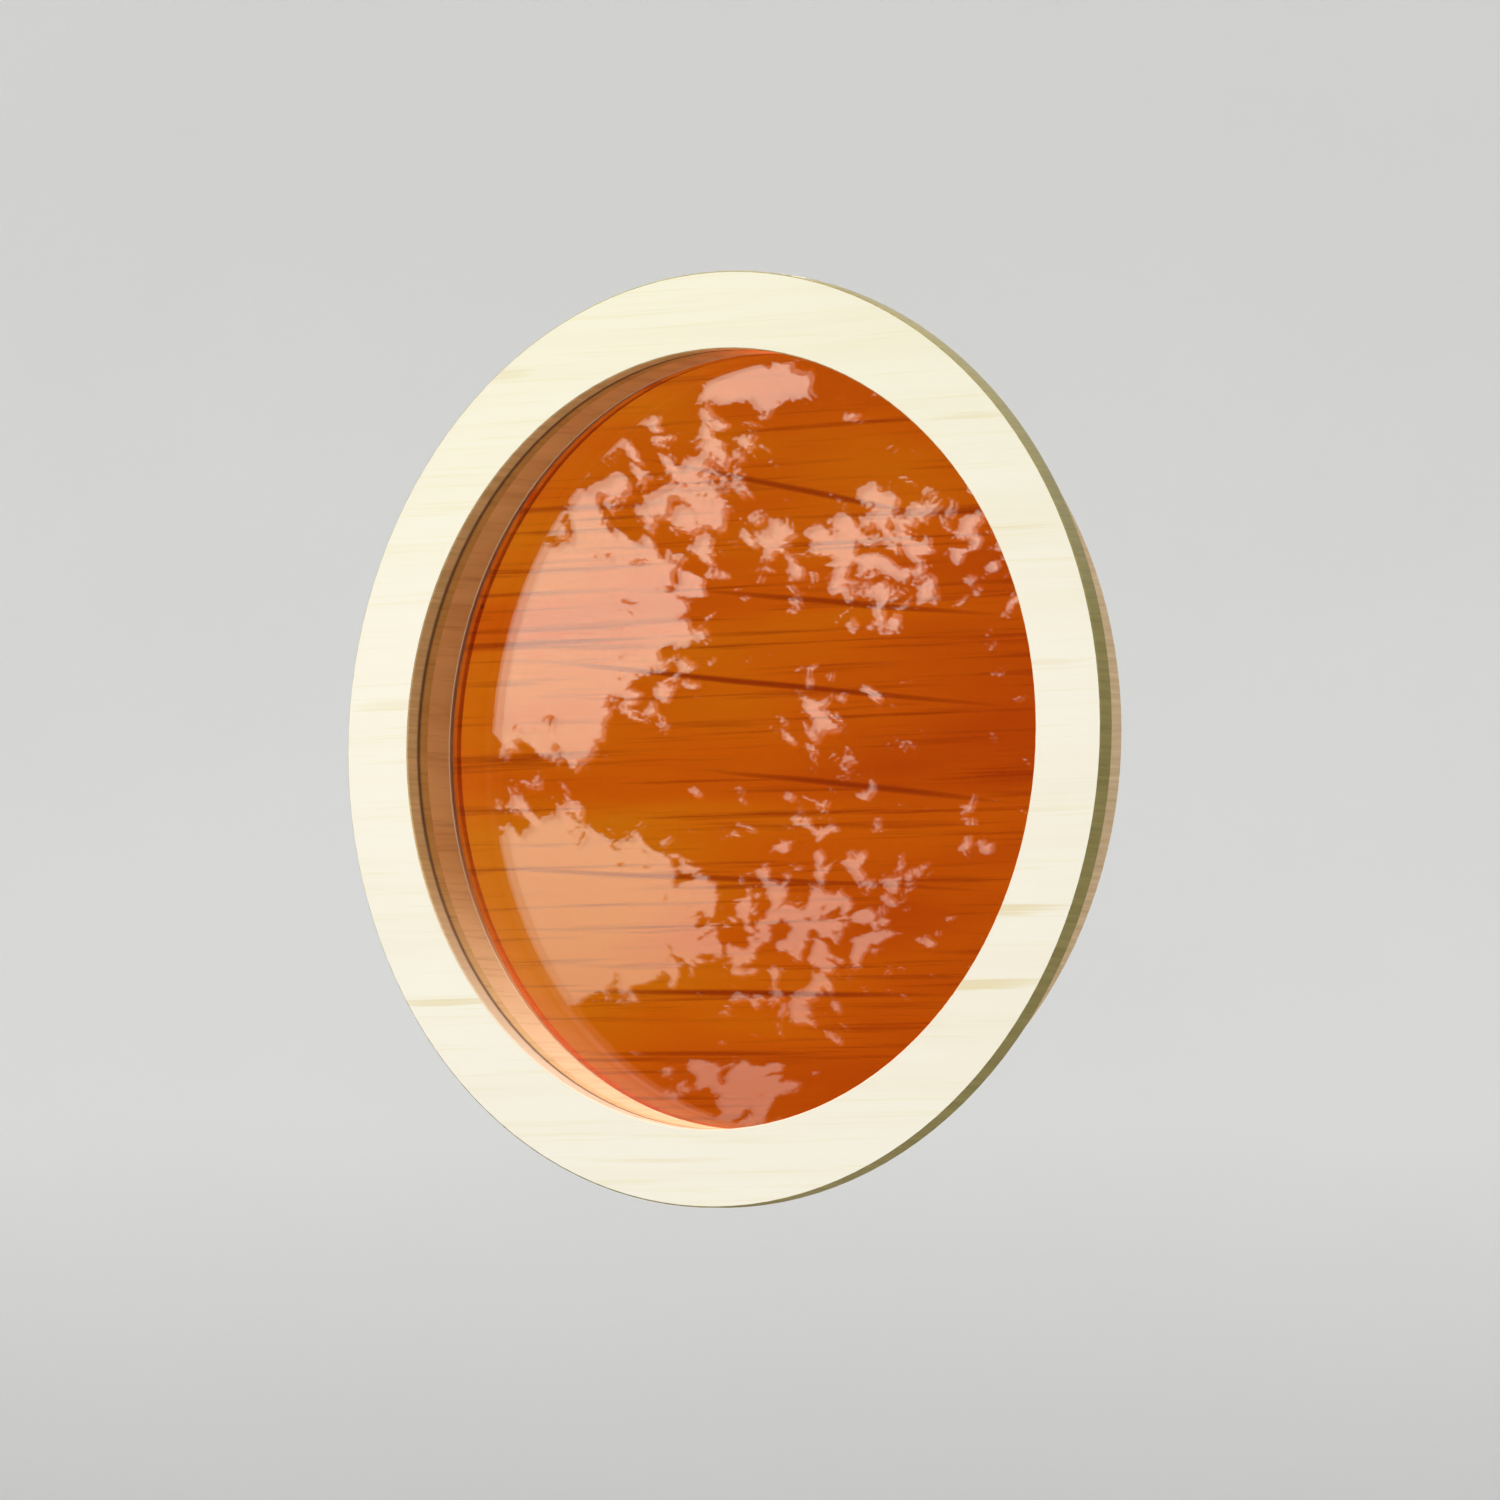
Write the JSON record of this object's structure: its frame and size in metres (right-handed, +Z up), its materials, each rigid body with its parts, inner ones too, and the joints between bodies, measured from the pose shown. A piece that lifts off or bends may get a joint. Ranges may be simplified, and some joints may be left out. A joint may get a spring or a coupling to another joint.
{
  "type": "round window",
  "caption": "Fixed round window with a flat timber ring outside, a deep timber lining and sealed amber double glazing held by a beaded ring.",
  "frame": {"origin": "on the window's axis, halfway through its depth", "axes": "+Z up, +Y from outdoors to the room, +X to the right as seen from outdoors"},
  "size_m": [0.8999, 0.098, 0.9],
  "materials": {
    "face_wood": "satin pale clear-coated softwood",
    "liner_wood": "satin clear-coated softwood, warmer than the face",
    "dowel_wood": "bare beech",
    "amber_glass": "clear amber body colour",
    "clear_glass": "clear float glass",
    "glazing_tape": "soft tan glazing tape",
    "seal_rubber": "matt black rubber",
    "spacer_metal": "golden brown anodised finish",
    "butyl": "tan sealant",
    "drying_beads": "pale grains",
    "block_plastic": "moulded plastic",
    "screw_brass": "satin brass"
  },
  "bodies": {
    "root": {"outer_face_ring": "face_wood", "packer_ring": "liner_wood", "ring_dowels": "dowel_wood", "wall_seal": "seal_rubber", "jamb_liner": "liner_wood", "front_glazing_tape": "glazing_tape", "outer_pane": "clear_glass", "outer_primary_seal": "butyl", "spacer_ring": "spacer_metal", "spacer_key": "block_plastic", "desiccant": "drying_beads", "inner_primary_seal": "butyl", "edge_sealant": "butyl", "inner_pane": "amber_glass", "setting_block_left": "block_plastic", "setting_block_right": "block_plastic", "location_block_left": "block_plastic", "location_block_right": "block_plastic", "back_glazing_tape": "glazing_tape", "glazing_bead": "liner_wood", "bead_screws": "screw_brass"}
  },
  "joints": []
}
